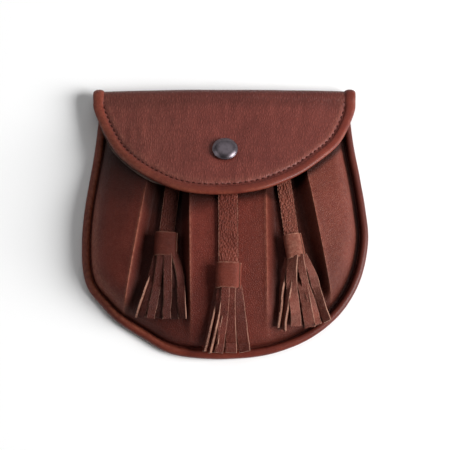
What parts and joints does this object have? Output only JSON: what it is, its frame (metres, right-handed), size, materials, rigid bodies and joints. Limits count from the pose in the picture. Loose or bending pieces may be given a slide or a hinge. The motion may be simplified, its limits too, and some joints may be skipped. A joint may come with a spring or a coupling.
{
  "type": "sporran pouch",
  "caption": "Brown leather day sporran pouch with half-moon snap flap, pleated front, piped edge and leather tassels on straps, lying on its back",
  "frame": {"origin": "centre of the bounding box in X and Y, at the height of the surface that the pouch lies on", "axes": "+X runs across the pouch, +Y toward its top, +Z out of its front; it lies on its back"},
  "size_m": [0.1801, 0.1737, 0.038],
  "materials": {
    "body_leather": "fine pebbled chestnut brown leather, satin",
    "edge_leather": "smooth stretched brown leather over piping cord, satin",
    "tassel_leather": "strongly pebbled brown leather with paler cut edges",
    "snap_metal": "antique nickel, dark and softly glossy"
  },
  "bodies": {
    "root": {"back_panel": "body_leather", "front_panel": "body_leather", "flap": "body_leather", "body_piping": "edge_leather", "flap_binding": "edge_leather", "snap_cap": "snap_metal", "snap_stud": "snap_metal", "tassel_strap_left": "tassel_leather", "tassel_strap_centre": "tassel_leather", "tassel_strap_right": "tassel_leather", "tassel_left": "tassel_leather", "tassel_centre": "tassel_leather", "tassel_right": "tassel_leather", "belt_loop_left": "body_leather", "belt_loop_right": "body_leather"}
  },
  "joints": []
}
